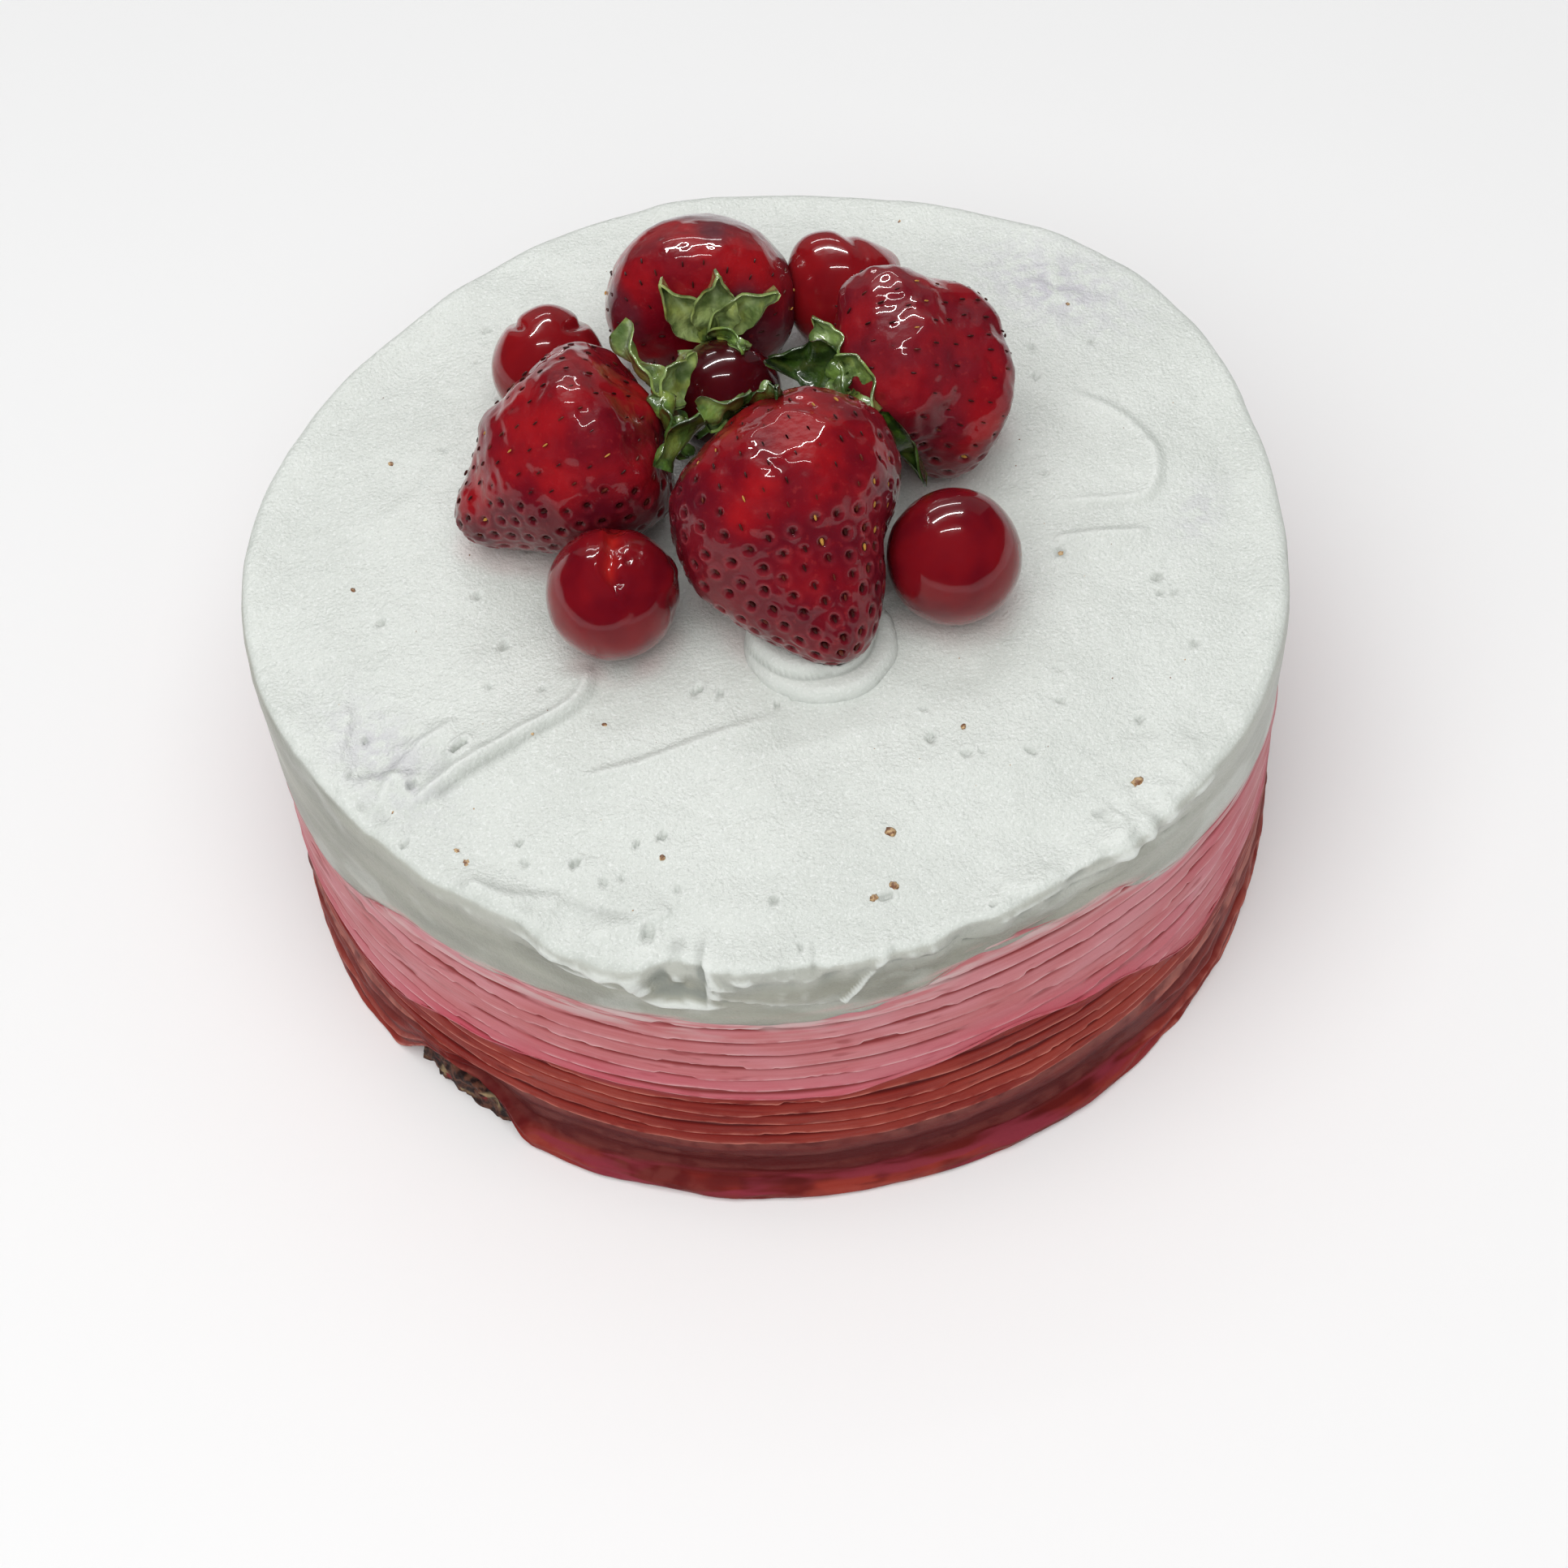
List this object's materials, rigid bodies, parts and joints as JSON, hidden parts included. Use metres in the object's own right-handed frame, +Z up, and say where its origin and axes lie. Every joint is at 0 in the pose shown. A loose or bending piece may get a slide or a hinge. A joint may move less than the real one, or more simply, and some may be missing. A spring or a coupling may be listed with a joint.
{
  "type": "birthday cake",
  "caption": "Round frosted cake: white cream top over pink and rose combed bands, crowned with glazed strawberries and cherries; stands on a flat base",
  "frame": {"origin": "centre of the cake's flat base, on the surface it stands on", "axes": "+Z up; the front of the cake, with the largest strawberry's tip, faces -Y; +X is to the right seen from the front"},
  "size_m": [0.1868, 0.1868, 0.104],
  "materials": {
    "sponge": "dark open sponge crumb",
    "white_cream": "soft satin whipped cream",
    "pink_cream": "soft satin combed cream",
    "rose_cream": "satin combed cream, deep rose",
    "strawberry": "ripe fruit under a clear gel glaze",
    "calyx": "leaf green, glazed in places",
    "cherry": "candied fruit under a clear gel glaze"
  },
  "bodies": {
    "root": {"sponge": "sponge", "icing_white": "white_cream", "icing_pink": "pink_cream", "icing_rose": "rose_cream", "strawberry_front": "strawberry", "strawberry_left": "strawberry", "strawberry_right": "strawberry", "strawberry_back": "strawberry", "calyx_front": "calyx", "calyx_left": "calyx", "calyx_right": "calyx", "calyx_back": "calyx", "cherry_front_left": "cherry", "cherry_front_right": "cherry", "cherry_centre": "cherry", "cherry_back_left": "cherry", "cherry_back_right": "cherry"}
  },
  "joints": []
}
